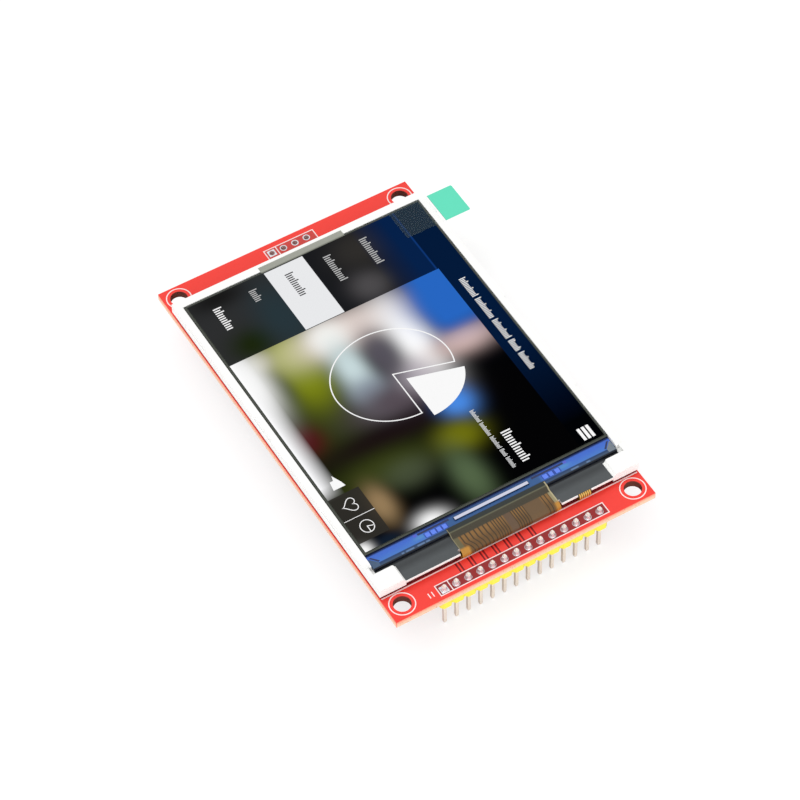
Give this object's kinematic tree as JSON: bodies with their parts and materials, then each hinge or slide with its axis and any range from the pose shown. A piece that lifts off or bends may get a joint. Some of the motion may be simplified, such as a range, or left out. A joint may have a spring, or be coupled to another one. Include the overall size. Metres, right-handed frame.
{
  "type": "tft display module",
  "caption": "Flat colour screen in a white plastic frame, taped on a red circuit board with a row of header pins, four screw holes and a card socket underneath.",
  "frame": {"origin": "centre of the four screw holes, on the board's underside", "axes": "+X to the right along the short side, from the header's first pin towards its last; +Y along the long side, from the pin header towards the card header; +Z out of the board's face, towards the screen"},
  "size_m": [0.0607, 0.0892, 0.0134],
  "materials": {
    "board": "red solder mask over glass-epoxy",
    "pin_insulator": "moulded yellow nylon",
    "pins": "tinned square wire",
    "solder": "bright tin solder",
    "foam": "white double-sided foam",
    "frame": "white moulded polycarbonate",
    "reflector": "white reflecting film",
    "guide": "clear acrylic",
    "sheets": "frosted film",
    "lamps": "white lamp with yellow phosphor",
    "flex": "amber polyimide with gold tracks",
    "tape": "dark grey adhesive film",
    "polariser": "dark film",
    "ledge_glass": "glass with a blue protective coat",
    "screen_glass": "dark filter glass",
    "screen": "glossy printed film",
    "clear_film": "clear peel-off film",
    "tab": "green translucent film",
    "chip": "bare silicon",
    "socket_plastic": "black moulded plastic",
    "socket_steel": "tinned sheet steel",
    "contacts": "gold-plated spring bronze",
    "package": "black moulded epoxy",
    "resistor": "black glazed chip with tin ends",
    "capacitor": "tan ceramic chip with tin ends"
  },
  "bodies": {
    "root": {"circuit_board": "board", "header_strip": "pin_insulator", "header_solder": "solder", "foam_tape_left": "foam", "foam_tape_right": "foam", "backlight_frame": "frame", "reflector_sheet": "reflector", "light_guide": "guide", "diffuser_sheet": "sheets", "lower_prism_sheet": "sheets", "upper_prism_sheet": "sheets", "lamp_flex": "flex", "rim_tape": "tape", "rear_polariser": "polariser", "array_glass": "ledge_glass", "filter_glass": "screen_glass", "front_polariser": "screen", "screen_film": "clear_film", "pull_tab": "tab", "edge_tape": "clear_film", "driver_chip": "chip", "display_flex": "flex", "flex_solder": "solder", "socket_base": "socket_plastic", "socket_shell": "socket_steel", "socket_contacts": "contacts", "regulator": "package", "transistor": "package", "resistors": "resistor", "capacitors": "capacitor", "header_pin_1": "pins", "header_pin_2": "pins", "header_pin_3": "pins", "header_pin_4": "pins", "header_pin_5": "pins", "header_pin_6": "pins", "header_pin_7": "pins", "header_pin_8": "pins", "header_pin_9": "pins", "header_pin_10": "pins", "header_pin_11": "pins", "header_pin_12": "pins", "header_pin_13": "pins", "header_pin_14": "pins", "lamp_1": "lamps", "lamp_2": "lamps", "lamp_3": "lamps", "lamp_4": "lamps", "lamp_5": "lamps", "lamp_6": "lamps"}
  },
  "joints": []
}
